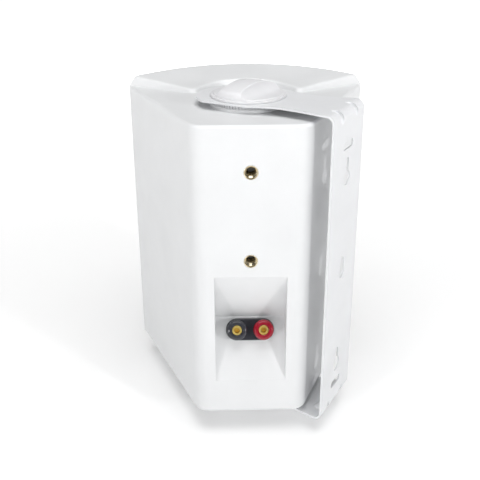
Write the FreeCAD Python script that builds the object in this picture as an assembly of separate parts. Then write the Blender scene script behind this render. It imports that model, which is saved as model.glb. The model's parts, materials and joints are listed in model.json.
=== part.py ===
import FreeCAD, Part
import math
import os

from FreeCAD import Vector

# Wall speaker in a swivelling U bracket, millimetres, +Z up, rear face towards +Y.
# The origin is the middle of the wall plate's outer face. Each cabinet piece is drawn about the
# swivel axis and then moved into place, and the bracket is drawn straight back and then swung.

# Swivel and bracket
plateReach = 75.0
swingAngle = 60.0
sheet = 1.3
bendOuter = 5.6
plateHalfWidth = 26.7
armEndRadius = 32.2
armEndSetback = 4.4
armShoulderAngle = 25.0
armWaistHalf = 21.6
armWaistAt = 34.0
armFlareMidHalf = 23.0
armFlareMidAt = 49.0
armFlareEndAt = 67.0
armLift = 6.1
armHoleRadius = 4.5
dartSpacing = 25.0
dartOuterRadius = 3.8
dartInnerRadius = 2.4
dartSetback = 3.4
dartDent = 1.0
trimMargin = 1.0
slotRadius = 2.75
slotLength = 17.0
upperSlotZ = 90.0
lowerSlotZ = -95.5
keyBulbRadius = 5.5
keyNeckRadius = 2.3
keyNeckRise = 12.0
upperKeyZ = 67.0
lowerKeyZ = -80.0
ovalRadius = 4.0
ovalLength = 16.0

# Cabinet
rearY = 56.0
rearHalf = 38.0
frontHalf = 89.3
sideDepth = 120.0
bowDepth = 32.0
topZ = 108.4
wall = 3.0
rearEdgeRadius = 12.0
rimEdgeRadius = 2.4

# Raised front band
bandRise = 6.0
bandTilt = 7.0
bandWallSlope = 55.0
bandOverrun = 10.0
recessRadius = 44.0
elbowX = 38.0
elbowY = -33.0
elbowRadius = 7.0
ridgeRadius = 3.5
frontEdgeRadius = 0.8

# Swivel seat on the cabinet's top and bottom
seatRadius = 26.0
seatHeight = 2.2
seatRound = 1.0

# Terminal scoop in the rear face
scoopTopZ = 2.5
scoopBottomZ = -81.0
scoopDepth = 20.0
scoopHalf = 25.2

# Terminals
postSpacing = 19.05
postAlongRamp = 9.3
baseRadius = 7.9
baseThick = 4.0
baseRound = 0.8
spigotReach = 1.0
capRadius = 7.3
capLength = 6.0
capRound = 2.2
capInnerRound = 0.75
collarRadius = 5.6
collarThick = 0.8
postRadius = 2.5
barrelRadius = 3.4
postChamfer = 0.4
socketRadius = 2.0
socketDepth = 14.0
postTail = 12.0
postThroughRadius = 3.2
nutAcross = 7.0
nutThick = 3.0
lugThick = 0.5
lugLength = 13.0
lugHalf = 3.0
screwThreadGap = 0.05
runGap = 0.2

# Clamp knob
knobRadius = 26.4
knobRimThick = 1.4
knobDomeRadius = 24.3
knobDomeRise = 9.2
knobShoulder = 5.4
knobBarAngle = 52.0
knobBarHalf = 8.0
knobScoopRadius = 7.0
knobStepRise = 0.7
knobEdgeRound = 0.8
knobBoreDepth = 9.0
knobCounterRadius = 13.5
knobCounterDepth = 0.8
knobRimRound = 0.5
washerRadius = 12.5
washerThick = 0.6
studRadius = 3.9
studReach = 14.0
studChamfer = 0.8
pivotInsertRadius = 6.0
pivotInsertLength = 14.0
pivotBossRadius = 11.0

# Notched detent ring under each arm
ringRadius = 25.0
ringInner = 14.0
ringThick = 2.3
ringNotches = 72
notchDepth = 1.2
notchShare = 0.5

# Rear inserts
insertOuter = 4.9
insertBore = 3.4
insertLength = 13.0
insertUpperZ = 77.3
insertLowerZ = 14.3
insertBossRadius = 8.0

# Baffle, gasket and grille
ledgeFrontY = -52.0
ledgeThick = 3.0
ledgeHalfX = 73.0
ledgeHalfZ = 101.0
gasketThick = 1.2
gasketInset = 1.0
baffleThick = 5.0
baffleHalfX = 80.0
baffleHalfZ = 105.0
baffleCorner = 6.0
baffleScrewSpots = [(71.0, 95.0), (76.5, 16.0), (71.0, -96.0)]
bossRadius = 4.0
bossLength = 18.0
grilleThick = 1.2
grilleInset = 2.0
grilleHalfX = 82.0
grilleHalfZ = 109.0
grilleCorner = 8.0
grilleColumns = 8
grilleRows = 12
grilleHexRadius = 6.0
grilleStagger = 0.25

# Woofer
wooferZ = -38.0
wooferFlange = 66.0
wooferOpening = 57.0
flangeThick = 3.0
basketWall = 1.6
basketClear = 1.0
basketMouth = 53.0
basketFoot = 36.0
basketDepth = 39.0
basketWindows = 6
windowRadius = 9.0
topPlateRadius = 38.0
topPlateThick = 5.0
magnetRadius = 42.0
magnetInner = 24.0
magnetThick = 15.0
magnetChamfer = 1.5
yokeRadius = 38.0
yokeThick = 5.0
poleRadius = 12.0
gapRadius = 14.6
formerRadius = 13.3
formerWall = 0.6
formerLength = 22.0
coneOuter = 47.0
coneNeck = 13.6
coneDepth = 23.0
coneThick = 0.8
coneFlareX = 28.3
coneFlareDepth = 12.65
dustCapRadius = 17.0
dustCapRise = 6.0
dustCapSeat = 6.5
surroundOuter = 57.5
surroundRoll = 3.6
surroundThick = 0.8
spiderOuter = 33.0
spiderWaves = 3
spiderWaveHeight = 1.5
spiderThick = 0.6
spiderSeat = 4.0
wooferScrewCount = 6
wooferScrewCircle = 61.0
coneTravel = 3.0

# Tweeter and ports
tweeterZ = 64.0
tweeterFlange = 31.0
tweeterCutRadius = 24.0
domeRadius = 12.5
domeRise = 6.0
domeThick = 0.6
domeClear = 1.0
hornLip = 0.6
tweeterBevel = 1.0
hornRadius = 22.0
tweeterMagnetRadius = 21.0
tweeterMagnetDepth = 20.0
tweeterMagnetRound = 2.0
tweeterScrewCount = 4
tweeterScrewCircle = 27.5
portX = 57.0
portZ = 66.0
portRadius = 11.0
portWall = 1.6
portLip = 13.5
portLength = 30.0

# Screws
screwRadius = 1.5
screwHeadRadius = 3.0
screwHeadThick = 1.8
screwLength = 14.0

# Crossover and wiring
boardY = 45.0
boardThick = 1.6
boardHalfX = 26.0
boardLowZ = 25.0
boardHighZ = 66.0
standoffRadius = 3.5
boardScrewInset = 4.0
boardScrewLength = 6.0
coilRadius = 10.0
coilBore = 4.0
coilHeight = 14.0
coilX = 11.0
capacitorRadius = 4.5
capacitorLength = 20.0
capacitorGap = 2.0
capacitorRound = 0.8
resistorSize = (18.0, 6.0, 6.0)
wireRadius = 0.9
wireSpread = 8.0
wireTrim = 0.45
inputWireSteps = [(-10.0, 14.0), (-8.0, 60.0)]
inputWireEnd = (41.0, 27.0)
wooferWireGap = 5.0
wooferWireRoute = [(-13.0, 42.5, 29.0), (-21.0, 31.0, 27.0), (-30.0, 12.0, 4.0), (-29.0, -25.2, -6.0)]
tweeterWireRoute = [(20.0, 42.5, 58.2), (14.0, 24.5, 61.0), (5.0, -19.3, 68.0), (4.0, -37.3, 64.0)]
padThick = 9.0
padGap = 0.6
padFrontY = -15.0
padBackY = 30.0

armTopZ = topZ + armLift
bandZ = topZ + bandRise
frontCornerY = rearY - sideDepth
baffleBackY = ledgeFrontY - gasketThick
baffleFrontY = baffleBackY - baffleThick
sideLength = math.hypot(frontHalf - rearHalf, sideDepth)
pivotX = plateReach * math.sin(math.radians(swingAngle))
pivotY = -plateReach * math.cos(math.radians(swingAngle))
seatZ = topZ + seatHeight
nutSeat = wall + spigotReach
recessY = elbowY + math.sqrt(recessRadius ** 2 - elbowX ** 2)
scoopMidZ = (scoopTopZ + scoopBottomZ) / 2
rampAngle = math.degrees(math.atan2(scoopDepth, scoopMidZ - scoopBottomZ))
bigSpan = 400.0
nearly = 0.1

alongX = Vector(1, 0, 0)
alongY = Vector(0, 1, 0)
alongZ = Vector(0, 0, 1)


def halfWidth(y):
    return rearHalf + (frontHalf - rearHalf) * (rearY - y) / sideDepth


def innerHalf(y, thickness):
    return halfWidth(y) - thickness * sideLength / sideDepth


def line(a, b):
    return Part.LineSegment(Vector(*a), Vector(*b)).toShape()


def arc(a, middle, b):
    return Part.Arc(Vector(*a), Vector(*middle), Vector(*b)).toShape()


def polygon(points):
    return Part.Wire(Part.makePolygon([Vector(*p) for p in points + points[:1]]))


def prism(wire, direction):
    return Part.Face(wire).extrude(direction)


def flatPrism(points, lowZ, highZ):
    wire = polygon([(x, y, lowZ) for x, y in points])
    return prism(wire, Vector(0, 0, highZ - lowZ))


def block(lowX, highX, lowY, highY, lowZ, highZ):
    return Part.makeBox(highX - lowX, highY - lowY, highZ - lowZ, Vector(lowX, lowY, lowZ))


def rod(radius, start, direction, length):
    return Part.makeCylinder(radius, length, Vector(*start), direction)


def turnedAboutY(profile, z):
    points = [(radius, y, 0) for radius, y in profile]
    solid = Part.Face(polygon(points)).revolve(Vector(0, 0, 0), alongY, 360)
    return solid.translated(Vector(0, 0, z))


def turnedWire(edges, z):
    solid = Part.Face(Part.Wire(edges)).revolve(Vector(0, 0, 0), alongY, 360)
    return solid.translated(Vector(0, 0, z))


def domeShell(rim, rise, thick, rimY, z):
    ball = (rim ** 2 + rise ** 2) / (2 * rise)
    centre = Vector(0, rimY - rise + ball, z)
    skin = Part.makeSphere(ball, centre).cut(Part.makeSphere(ball - thick, centre))
    return skin.common(rod(rim, (0, rimY - 2 * rise, z), alongY, 2 * rise))


def mirrorZ(shape):
    return shape.mirror(Vector(0, 0, 0), alongZ)


def edgesWhere(shape, test):
    return [edge for edge in shape.Edges if test(edge)]


def middleOf(edge):
    return edge.valueAt((edge.FirstParameter + edge.LastParameter) / 2)


def onBow(point):
    axisY = frontCornerY - bowDepth + bowRadius()
    return point.y < frontCornerY + 1 and abs(math.hypot(point.x, point.y - axisY) - bowRadius()) < nearly


def hexagon(radius, angle=0.0):
    spots = [math.radians(angle + 60 * k) for k in range(6)]
    return [(radius * math.cos(a), radius * math.sin(a)) for a in spots]


# Cabinet plan: straight tapering sides and a bowed front
def planWire(z):
    rearLeft = (-rearHalf, rearY, z)
    rearRight = (rearHalf, rearY, z)
    frontRight = (frontHalf, frontCornerY, z)
    frontLeft = (-frontHalf, frontCornerY, z)
    apex = (0, frontCornerY - bowDepth, z)
    bow = arc(frontRight, apex, frontLeft)
    rearEdge = line(rearLeft, rearRight)
    return Part.Wire([rearEdge, line(rearRight, frontRight), bow, line(frontLeft, rearLeft)])


def planPrism(lowZ, highZ):
    return prism(planWire(lowZ), Vector(0, 0, highZ - lowZ))


# The band's rear wall runs straight from each front corner to an elbow, then round the swivel recess
def bandWire(z, inset):
    corner = Vector(frontHalf, frontCornerY, z)
    along = (Vector(elbowX, elbowY, z) - corner).normalize()
    inward = Vector(-along.y, along.x, 0)
    start = corner + inward * inset - along * bandOverrun
    centre = Vector(0, recessY, z)
    radius = recessRadius + inset
    foot = start + along * (centre - start).dot(along)
    elbow = foot - along * math.sqrt(radius ** 2 - foot.distanceToPoint(centre) ** 2)
    frontY = frontCornerY - 2 * bowDepth
    return Part.Wire([
        line((start.x, start.y, z), (elbow.x, elbow.y, z)),
        arc((elbow.x, elbow.y, z), (0, recessY - radius, z), (-elbow.x, elbow.y, z)),
        line((-elbow.x, elbow.y, z), (-start.x, start.y, z)),
        line((-start.x, start.y, z), (-start.x, frontY, z)),
        line((-start.x, frontY, z), (start.x, frontY, z)),
        line((start.x, frontY, z), (start.x, start.y, z)),
    ])


# The band's top falls gently from the bowed front towards the swivel
def bandTop(y):
    return bandZ - math.tan(math.radians(bandTilt)) * (y - frontCornerY)


def raisedBand():
    run = 1 / math.tan(math.radians(bandWallSlope))
    lift = 2 * bandRise
    low = bandWire(topZ - wall, -wall * run)
    high = bandWire(topZ + lift, lift * run)
    band = Part.makeLoft([low, high], True, True)
    band = band.common(planPrism(0, 2 * topZ))

    def isElbow(edge):
        ends = [v.Point for v in edge.Vertexes]
        if len(ends) != 2 or abs(ends[0].z - ends[1].z) < lift:
            return False
        return min(p.y for p in ends) > frontCornerY + bandOverrun

    band = band.makeFillet(elbowRadius, edgesWhere(band, isElbow))
    side = -bigSpan / 2
    farY = -bigSpan / 2
    under = polygon([(side, farY, 0), (side, 0, 0), (side, 0, bandTop(0)), (side, farY, bandTop(farY))])
    band = band.common(prism(under, alongX * bigSpan))

    def isRidge(edge):
        middle = middleOf(edge)
        spots = [v.Point for v in edge.Vertexes] + [middle]
        onTop = all(abs(p.z - bandTop(p.y)) < nearly for p in spots)
        return onTop and not onBow(middle) and halfWidth(middle.y) - abs(middle.x) > 1

    return band.makeFillet(ridgeRadius, edgesWhere(band, isRidge))


def scoopPrism(extra):
    low = rearY + bigSpan / 10
    points = [
        (low, scoopTopZ + extra),
        (rearY, scoopTopZ + extra),
        (rearY - scoopDepth - extra, scoopMidZ),
        (rearY, scoopBottomZ - extra),
        (low, scoopBottomZ - extra),
    ]
    wire = polygon([(-scoopHalf - extra, y, z) for y, z in points])
    return prism(wire, Vector(2 * (scoopHalf + extra), 0, 0))


def rearUprights(shape, y):
    def isUpright(edge):
        return edge.BoundBox.ZLength > topZ and edge.BoundBox.YMin > y - nearly

    return edgesWhere(shape, isUpright)


def cabinetOuter():
    body = planPrism(-topZ, topZ)
    body = body.makeFillet(rearEdgeRadius, rearUprights(body, rearY))

    def isRim(edge):
        return edge.BoundBox.ZLength < nearly and not onBow(middleOf(edge))

    body = body.makeFillet(rimEdgeRadius, edgesWhere(body, isRim))
    band = raisedBand()
    seat = swivelSeat()
    outer = body.fuse([band, mirrorZ(band), seat, mirrorZ(seat)]).removeSplitter()

    def isFrontEdge(edge):
        return onBow(middleOf(edge)) and edge.Length > topZ

    return outer.makeFillet(frontEdgeRadius, edgesWhere(outer, isFrontEdge))


def swivelSeat():
    seat = rod(seatRadius, (0, 0, topZ - wall), alongZ, wall + seatHeight)
    return seat.makeFillet(seatRound, edgesWhere(seat, lambda edge: edge.BoundBox.ZMin > topZ))


def baffleScrewPlaces():
    return [(side * x, z) for x, z in baffleScrewSpots for side in (1, -1)]


def cabinetCavity():
    backY = rearY - wall
    frontY = frontCornerY - 2 * bowDepth
    plan = [
        (-innerHalf(backY, wall), backY),
        (innerHalf(backY, wall), backY),
        (innerHalf(frontY, wall), frontY),
        (-innerHalf(frontY, wall), frontY),
    ]
    cavity = flatPrism(plan, wall - topZ, topZ - wall)
    cavity = cavity.makeFillet(rearEdgeRadius - wall, rearUprights(cavity, backY))
    bandBackY = frontCornerY - wall / 2
    mouth = block(-grilleHalfX, grilleHalfX, frontY, bandBackY, wall - bandZ, bandZ - wall)
    cavity = cavity.fuse(mouth).removeSplitter()
    ledge = block(-bigSpan, bigSpan, ledgeFrontY, ledgeFrontY + ledgeThick, -bigSpan, bigSpan)
    ledge = ledge.cut(block(-ledgeHalfX, ledgeHalfX, -bigSpan, bigSpan, -ledgeHalfZ, ledgeHalfZ))
    kept = [ledge, scoopPrism(wall)]
    for x, z in baffleScrewPlaces():
        kept.append(rod(bossRadius, (x, ledgeFrontY, z), alongY, bossLength))
    for z in (insertUpperZ, insertLowerZ):
        kept.append(rod(insertBossRadius, (0, rearY, z), -alongY, insertLength + wall))
    for side in (1, -1):
        boss = rod(pivotBossRadius, (0, 0, side * topZ), alongZ * -side, pivotInsertLength + wall)
        kept.append(boss)
    for x, z in boardScrewPlaces():
        kept.append(rod(standoffRadius, (x, rearY, z), -alongY, rearY - boardY))
    return cavity.cut(kept)


def cabinetShell():
    shell = cabinetOuter().cut(cabinetCavity())
    holes = [scoopPrism(0)]
    for x, z in baffleScrewPlaces():
        holes.append(rod(screwRadius + screwThreadGap, (x, ledgeFrontY, z), alongY, screwLength))
    for z in (insertUpperZ, insertLowerZ):
        holes.append(rod(insertOuter, (0, rearY, z), -alongY, insertLength))
    for side in (1, -1):
        holes.append(rod(pivotInsertRadius, (0, 0, side * seatZ), alongZ * -side, pivotInsertLength))
    for x, z in boardScrewPlaces():
        holes.append(rod(screwRadius + screwThreadGap, (x, boardY, z), alongY, boardScrewLength))
    for x in postPlaces():
        hole = rod(postThroughRadius, (x, -bigSpan / 10, 0), alongY, bigSpan / 10)
        holes.append(ontoRamp(hole))
    return shell.cut(holes)


# Terminals are drawn about +Y and then laid on the sloping lower face of the scoop
def postPlaces():
    return (postSpacing / 2, -postSpacing / 2)


def ontoRamp(shape):
    tilt = math.radians(rampAngle)
    y = rearY - scoopDepth + postAlongRamp * math.sin(tilt)
    z = scoopMidZ - postAlongRamp * math.cos(tilt)
    turned = shape.rotated(Vector(0, 0, 0), alongX, rampAngle)
    return turned.translated(Vector(0, y, z))


def stadium(half, radius, y):
    edges = [
        line((-half, y, radius), (half, y, radius)),
        arc((half, y, radius), (half + radius, y, 0), (half, y, -radius)),
        line((half, y, -radius), (-half, y, -radius)),
        arc((-half, y, -radius), (-half - radius, y, 0), (-half, y, radius)),
    ]
    return Part.Wire(edges)


def terminalBase():
    base = prism(stadium(postSpacing / 2, baseRadius, 0), alongY * baseThick)
    rim = edgesWhere(base, lambda edge: edge.BoundBox.YMin > baseThick - nearly)
    base = base.makeFillet(baseRound, rim)
    for x in postPlaces():
        spigot = rod(postThroughRadius - runGap, (x, -nutSeat, 0), alongY, nutSeat)
        base = base.fuse(spigot)
    bores = [rod(postRadius, (x, -bigSpan / 10, 0), alongY, bigSpan / 5) for x in postPlaces()]
    return ontoRamp(base.cut(bores))


def postCollar(x):
    low = baseThick + runGap
    ring = rod(collarRadius, (x, low, 0), alongY, collarThick)
    return ontoRamp(ring.cut(rod(barrelRadius + runGap, (x, low, 0), alongY, collarThick)))


def capBack():
    return baseThick + 2 * runGap + collarThick


def postCap(x):
    low = capBack()
    cap = rod(capRadius, (0, low, 0), alongY, capLength)
    cap = cap.cut(rod(barrelRadius + runGap, (0, low, 0), alongY, capLength))
    face = edgesWhere(cap, lambda edge: edge.BoundBox.YMin > low + capLength - nearly)
    outer = [edge for edge in face if edge.BoundBox.XLength > 2 * capRadius - 1]
    inner = [edge for edge in face if edge.BoundBox.XLength < 2 * capRadius - 1]
    cap = cap.makeFillet(capRound, outer)
    cap = cap.makeFillet(capInnerRound, edgesWhere(cap, lambda edge: matchesEdge(edge, inner[0])))
    return ontoRamp(cap.translated(Vector(x, 0, 0)))


def matchesEdge(edge, other):
    sameSize = abs(edge.BoundBox.XLength - other.BoundBox.XLength) < nearly
    return sameSize and abs(edge.BoundBox.Center.y - other.BoundBox.Center.y) < nearly


def binderPost(x):
    top = capBack() + capLength + runGap
    shank = rod(postRadius, (x, -postTail, 0), alongY, postTail + baseThick)
    barrel = rod(barrelRadius, (x, baseThick, 0), alongY, top - baseThick)
    mouth = edgesWhere(barrel, lambda edge: edge.BoundBox.YMin > top - nearly)
    barrel = barrel.makeChamfer(postChamfer, mouth)
    post = shank.fuse(barrel)
    return ontoRamp(post.cut(rod(socketRadius, (x, top - socketDepth, 0), alongY, socketDepth)))


def terminalNuts():
    nuts = []
    for x in postPlaces():
        wire = polygon([(x + u, -nutSeat - nutThick, v) for u, v in hexagon(nutAcross / math.sqrt(3), 30)])
        nut = prism(wire, alongY * nutThick)
        nuts.append(nut.cut(rod(postRadius, (x, -bigSpan / 10, 0), alongY, bigSpan / 10)))
    return ontoRamp(Part.makeCompound(nuts))


def solderLugs():
    lugs = []
    high = -nutSeat - nutThick
    for x in postPlaces():
        pad = rod(nutAcross / 2, (x, high - lugThick, 0), alongY, lugThick)
        tongue = block(x - lugHalf / 2, x + lugHalf / 2, high - lugThick, high, -lugLength, 0)
        lug = pad.fuse(tongue).removeSplitter()
        lugs.append(lug.cut(rod(postRadius, (x, -bigSpan / 10, 0), alongY, bigSpan / 10)))
    return ontoRamp(Part.makeCompound(lugs))


# Clamp knob, drawn standing on the upper arm: a low dome cut back to a bar grip between two scoops
def clampKnob():
    domeTop = knobRimThick + knobDomeRise
    shoulderX = knobDomeRadius - knobShoulder
    excess = shoulderX ** 2 - knobShoulder ** 2 + knobDomeRise ** 2
    crown = excess / (2 * (knobDomeRise - knobShoulder))
    lean = math.atan2(crown - knobDomeRise, shoulderX)

    def onShoulder(angle):
        x = shoulderX + knobShoulder * math.cos(angle)
        return (x, 0, knobRimThick + knobShoulder * math.sin(angle))

    def onCrown(angle):
        return (crown * math.cos(angle), 0, domeTop - crown + crown * math.sin(angle))

    profile = [
        line((0, 0, 0), (knobRadius, 0, 0)),
        line((knobRadius, 0, 0), (knobRadius, 0, knobRimThick)),
        line((knobRadius, 0, knobRimThick), (knobDomeRadius, 0, knobRimThick)),
        arc(onShoulder(0), onShoulder(lean / 2), onShoulder(lean)),
        arc(onShoulder(lean), onCrown((lean + math.pi / 2) / 2), (0, 0, domeTop)),
        line((0, 0, domeTop), (0, 0, 0)),
    ]
    knob = Part.Face(Part.Wire(profile)).revolve(Vector(0, 0, 0), alongZ, 360)
    knob = knob.cut([knobScoop(), knobScoop().mirror(Vector(0, 0, 0), alongY)])

    def isBarEdge(edge):
        middle = middleOf(edge)
        return abs(abs(middle.y) - knobBarHalf) < nearly and middle.z > knobRimThick + knobScoopRadius / 2

    knob = knob.makeFillet(knobEdgeRound, edgesWhere(knob, isBarEdge))
    knob = knob.cut(rod(knobCounterRadius, (0, 0, 0), alongZ, knobCounterDepth))
    knob = knob.cut(rod(studRadius, (0, 0, 0), alongZ, knobBoreDepth))

    def isRim(edge):
        return edge.BoundBox.XLength > 2 * knobRadius - nearly and edge.BoundBox.ZMin > knobRimThick / 2

    knob = knob.makeFillet(knobRimRound, edgesWhere(knob, isRim))
    knob = knob.rotated(Vector(0, 0, 0), alongZ, knobBarAngle)
    return knob.translated(Vector(0, 0, armTopZ + runGap))


# One finger scoop: an upright wall beside the bar, rounded into a floor just above the rim
def knobScoop():
    side = -knobRadius
    floor = knobRimThick + knobStepRise
    high = knobRimThick + 2 * knobDomeRise
    bend = math.sqrt(0.5)
    wallFoot = floor + knobScoopRadius
    floorStart = knobBarHalf + knobScoopRadius
    edges = [
        line((side, knobBarHalf, high), (side, knobBarHalf, wallFoot)),
        arc((side, knobBarHalf, wallFoot),
            (side, floorStart - knobScoopRadius * bend, wallFoot - knobScoopRadius * bend),
            (side, floorStart, floor)),
        line((side, floorStart, floor), (side, knobRadius, floor)),
        line((side, knobRadius, floor), (side, knobRadius, high)),
        line((side, knobRadius, high), (side, knobBarHalf, high)),
    ]
    return prism(Part.Wire(edges), alongX * 2 * knobRadius)


def knobStud():
    low = seatZ - studReach
    high = armTopZ + runGap + knobBoreDepth
    stud = rod(studRadius, (0, 0, low), alongZ, high - low)
    return stud.makeChamfer(studChamfer, edgesWhere(stud, lambda edge: edge.BoundBox.ZMax < low + nearly))


def knobWasher():
    low = armTopZ + runGap
    ring = rod(washerRadius, (0, 0, low), alongZ, washerThick)
    return ring.cut(rod(studRadius + runGap, (0, 0, low), alongZ, washerThick))


def pivotInsert():
    low = seatZ - pivotInsertLength
    insert = rod(pivotInsertRadius, (0, 0, low), alongZ, pivotInsertLength)
    return insert.cut(rod(studRadius + runGap, (0, 0, low), alongZ, pivotInsertLength))


def detentRing():
    step = 2 * math.pi / ringNotches
    points = []
    for k in range(ringNotches):
        start = k * step
        stop = start + step * (1 - notchShare)
        for radius, angle in ((ringRadius, start), (ringRadius, stop)):
            points.append((radius * math.cos(angle), radius * math.sin(angle)))
        floor = ringRadius - notchDepth
        for angle in (stop, start + step):
            points.append((floor * math.cos(angle), floor * math.sin(angle)))
    ring = flatPrism(points, seatZ, seatZ + ringThick)
    return ring.cut(rod(ringInner, (0, 0, seatZ), alongZ, ringThick))


def rearInserts():
    inserts = []
    for z in (insertUpperZ, insertLowerZ):
        insert = rod(insertOuter, (0, rearY, z), -alongY, insertLength)
        inserts.append(insert.cut(rod(insertBore, (0, rearY, z), -alongY, insertLength)))
    return Part.makeCompound(inserts)


# Folded bracket: a U of sheet trimmed to the arm outline, with dimpled bends and pierced plate
def armOutline():
    shoulder = math.radians(armShoulderAngle)
    shoulderX = armEndRadius * math.cos(shoulder)
    shoulderY = armEndRadius * math.sin(shoulder) - armEndSetback
    neckX = (shoulderX + 2 * armWaistHalf) / 3
    neckY = (shoulderY + armWaistAt) / 2
    low = -bigSpan / 2
    backY = plateReach + trimMargin
    right = [
        arc((0, -armEndSetback - armEndRadius, low),
            (armEndRadius * math.cos(-shoulder), -armEndSetback + armEndRadius * math.sin(-shoulder), low),
            (shoulderX, shoulderY, low)),
        arc((shoulderX, shoulderY, low), (neckX, neckY, low), (armWaistHalf, armWaistAt, low)),
        arc((armWaistHalf, armWaistAt, low), (armFlareMidHalf, armFlareMidAt, low),
            (plateHalfWidth, armFlareEndAt, low)),
        line((plateHalfWidth, armFlareEndAt, low), (plateHalfWidth, backY, low)),
    ]
    left = [edge.mirror(Vector(0, 0, 0), alongX) for edge in right]
    back = line((plateHalfWidth, backY, low), (-plateHalfWidth, backY, low))
    wire = Part.Wire(Part.__sortEdges__(right + left + [back]))
    return prism(wire, Vector(0, 0, bigSpan))


def channelPrism(reach, top, radius):
    start = -bigSpan / 8
    body = block(-plateHalfWidth - trimMargin, plateHalfWidth + trimMargin, start, reach, -top, top)

    def isBend(edge):
        box = edge.BoundBox
        return box.XLength > plateHalfWidth and box.YMin > reach - nearly

    return body.makeFillet(radius, edgesWhere(body, isBend))


def keyhole(z):
    span = sheet * 3
    y = plateReach - span / 2 - sheet / 2
    bulb = rod(keyBulbRadius, (0, y, z), alongY, span)
    neck = rod(keyNeckRadius, (0, y, z + keyNeckRise), alongY, span)
    throat = block(-keyNeckRadius, keyNeckRadius, y, y + span, z, z + keyNeckRise)
    return bulb.fuse([neck, throat])


def longHole(z, radius, length, upright):
    span = sheet * 3
    y = plateReach - span / 2 - sheet / 2
    cutter = prism(stadium(length / 2 - radius, radius, y), alongY * span)
    if upright:
        cutter = cutter.rotated(Vector(0, 0, 0), alongY, 90)
    return cutter.translated(Vector(0, 0, z))


def bendDart(x, radius):
    spine = Vector(0, 1, -1)
    span = bigSpan / 8
    corner = Vector(x, plateReach - dartSetback, armTopZ - dartSetback)
    start = corner - spine * (span / 2 / spine.Length)
    return Part.makeCylinder(radius, span, start, spine)


def wallBracket():
    outer = channelPrism(plateReach, armTopZ, bendOuter)
    inner = channelPrism(plateReach - sheet, armTopZ - sheet, bendOuter - sheet)
    channel = outer.cut(inner)
    dents = []
    for side in (1, -1):
        x = side * dartSpacing / 2
        bump = bendDart(x, dartOuterRadius).common(outer)
        dent = bendDart(x, dartInnerRadius).translated(Vector(0, dartDent, dartDent))
        near = block(-bigSpan, bigSpan, 0, bigSpan, 0, bigSpan)
        bump = bump.common(near)
        channel = channel.fuse([bump, mirrorZ(bump)])
        dents += [dent, mirrorZ(dent)]
    bracket = channel.common(armOutline())
    holes = [rod(armHoleRadius, (0, 0, -bigSpan / 2), alongZ, bigSpan)]
    holes += [keyhole(upperKeyZ), keyhole(lowerKeyZ)]
    holes += [longHole(upperSlotZ, slotRadius, slotLength, False)]
    holes += [longHole(lowerSlotZ, slotRadius, slotLength, False)]
    holes += [longHole(0, ovalRadius, ovalLength, True)]
    bracket = bracket.cut(holes + dents)
    return bracket.rotated(Vector(0, 0, 0), alongZ, swingAngle)


# Baffle and what it carries
def roundedPlate(halfX, halfZ, corner, lowY, highY):
    plate = block(-halfX, halfX, lowY, highY, -halfZ, halfZ)
    uprights = edgesWhere(plate, lambda edge: edge.BoundBox.YLength > (highY - lowY) / 2)
    return plate.makeFillet(corner, uprights)


def frontBaffle():
    plate = roundedPlate(baffleHalfX, baffleHalfZ, baffleCorner, baffleFrontY, baffleBackY)
    low = baffleFrontY
    holes = [rod(wooferOpening, (0, low, wooferZ), alongY, baffleThick)]
    holes.append(rod(tweeterCutRadius, (0, low, tweeterZ), alongY, baffleThick))
    for side in (1, -1):
        holes.append(rod(portRadius, (side * portX, low, portZ), alongY, baffleThick))
    for x, z in baffleScrewPlaces():
        holes.append(rod(screwRadius + screwThreadGap, (x, low, z), alongY, baffleThick))
    for x, z in wooferScrewPlaces() + tweeterScrewPlaces():
        holes.append(rod(screwRadius + screwThreadGap, (x, low, z), alongY, baffleThick))
    return plate.cut(holes)


def baffleGasket():
    halfX = baffleHalfX - gasketInset
    halfZ = baffleHalfZ - gasketInset
    frame = roundedPlate(halfX, halfZ, baffleCorner, baffleBackY, ledgeFrontY)
    frame = frame.cut(block(-ledgeHalfX, ledgeHalfX, -bigSpan, bigSpan, -ledgeHalfZ, ledgeHalfZ))
    holes = []
    for x, z in baffleScrewPlaces():
        holes.append(rod(screwRadius + screwThreadGap, (x, baffleBackY, z), alongY, gasketThick))
    return frame.cut(holes)


def circlePlaces(count, radius, z, first):
    spots = [math.radians(first + 360 * k / count) for k in range(count)]
    return [(radius * math.cos(a), z + radius * math.sin(a)) for a in spots]


def wooferScrewPlaces():
    return circlePlaces(wooferScrewCount, wooferScrewCircle, wooferZ, 0)


def tweeterScrewPlaces():
    return circlePlaces(tweeterScrewCount, tweeterScrewCircle, tweeterZ, 45)


def screwGroup(places, seatY, length):
    screws = []
    for x, z in places:
        shank = rod(screwRadius, (x, seatY, z), alongY, length)
        head = rod(screwHeadRadius, (x, seatY - screwHeadThick, z), alongY, screwHeadThick)
        screws.append(shank.fuse(head))
    return Part.makeCompound(screws)


def boardScrewPlaces():
    highX = boardHalfX - boardScrewInset
    lowZ = boardLowZ + boardScrewInset
    highZ = boardHighZ - boardScrewInset
    return [(side * highX, z) for side in (1, -1) for z in (lowZ, highZ)]


def bowRadius():
    return (frontHalf ** 2 + bowDepth ** 2) / (2 * bowDepth)


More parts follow.
